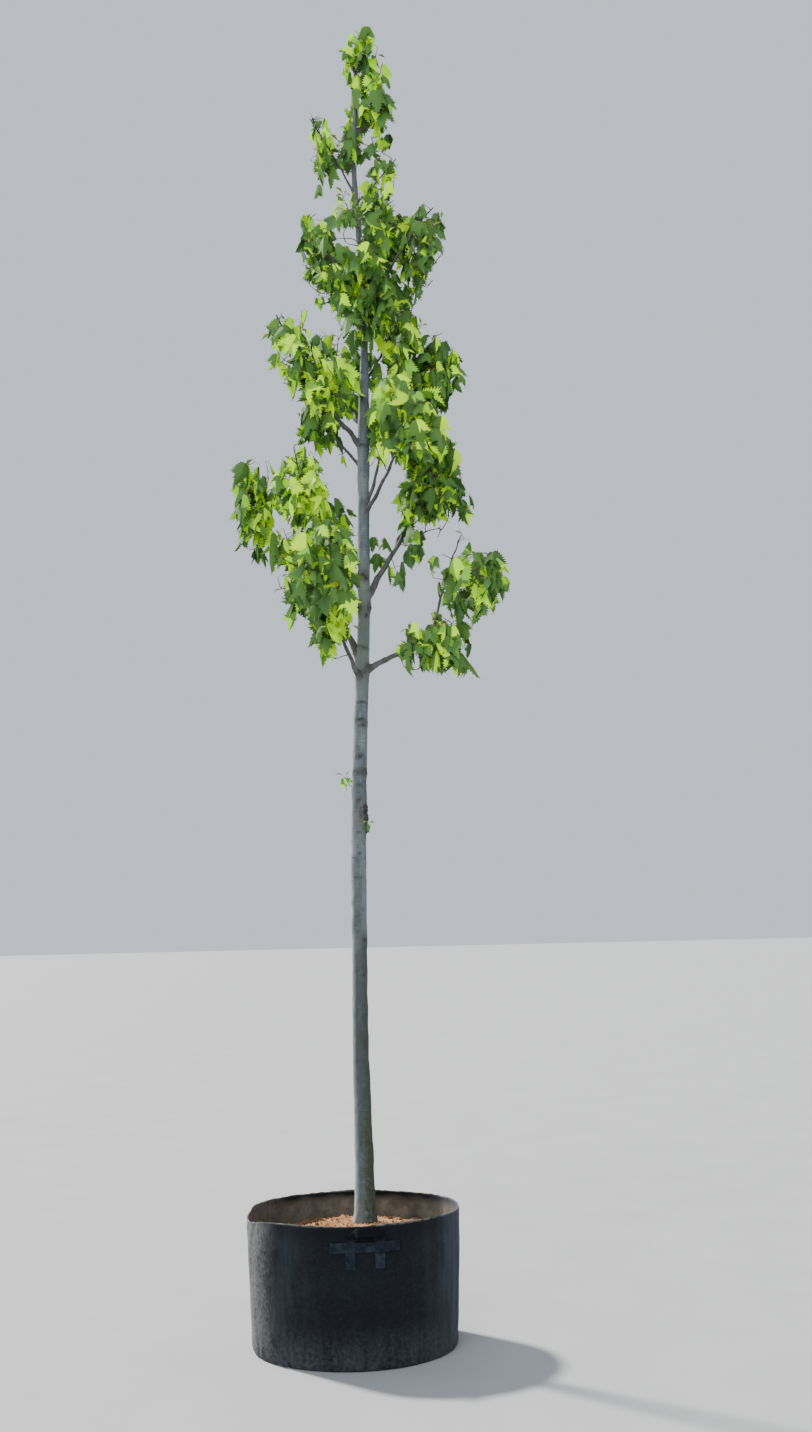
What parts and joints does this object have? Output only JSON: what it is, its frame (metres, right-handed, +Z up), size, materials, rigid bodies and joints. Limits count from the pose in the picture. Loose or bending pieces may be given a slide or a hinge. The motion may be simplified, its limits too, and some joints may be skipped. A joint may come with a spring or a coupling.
{
  "type": "sapling with root ball",
  "caption": "Young broad-leaved tree with a slender pale trunk and a narrow open crown, its root ball in a round black fabric grow bag with webbing handles.",
  "frame": {"origin": "middle of the bag's flat underside, on the ground", "axes": "+Z up along the trunk; -Y is the side of the first handle, seen in the picture; +X is to the right of that view"},
  "size_m": [1.138, 1.0759, 5.4549],
  "materials": {
    "bag_fabric": "black non-woven felt, dusty",
    "webbing": "black woven webbing",
    "soil": "loose reddish-brown growing mix",
    "bark": "smooth pale grey bark with darker scars and green algae",
    "foliage": "fresh green leaves, slightly glossy"
  },
  "bodies": {
    "root": {"bag": "bag_fabric", "handle_back": "webbing", "handle_front": "webbing", "leaves_centre": "foliage", "leaves_far_left": "foliage", "leaves_far_upper_left": "foliage", "leaves_high_back": "foliage", "leaves_high_front": "foliage", "leaves_high_left": "foliage", "leaves_high_right": "foliage", "leaves_high_right_inner": "foliage", "leaves_inner_left": "foliage", "leaves_inner_upper_left": "foliage", "leaves_leader_left": "foliage", "leaves_leader_right": "foliage", "leaves_leader_upper": "foliage", "leaves_low_back": "foliage", "leaves_low_front": "foliage", "leaves_low_left": "foliage", "leaves_low_right": "foliage", "leaves_low_right_upper": "foliage", "leaves_mid_back": "foliage", "leaves_mid_front": "foliage", "leaves_mid_left": "foliage", "leaves_mid_left_lower": "foliage", "leaves_mid_right": "foliage", "leaves_mid_right_upper": "foliage", "leaves_top": "foliage", "leaves_top_left": "foliage", "leaves_top_right": "foliage", "leaves_upper_back": "foliage", "leaves_upper_left": "foliage", "leaves_upper_right": "foliage", "leaves_upper_right_inner": "foliage", "limb_far_left": "bark", "limb_far_left_rise": "bark", "limb_high_back": "bark", "limb_high_front": "bark", "limb_high_left": "bark", "limb_high_right": "bark", "limb_inner_left": "bark", "limb_low_back": "bark", "limb_low_front": "bark", "limb_low_left": "bark", "limb_low_right": "bark", "limb_low_right_rise": "bark", "limb_mid_back": "bark", "limb_mid_front": "bark", "limb_mid_left": "bark", "limb_mid_left_rise": "bark", "limb_mid_right": "bark", "limb_tip_right": "bark", "limb_top_left": "bark", "limb_top_right": "bark", "limb_upper_back": "bark", "limb_upper_left": "bark", "limb_upper_right": "bark", "root_ball": "soil", "trunk": "bark"}
  },
  "joints": []
}
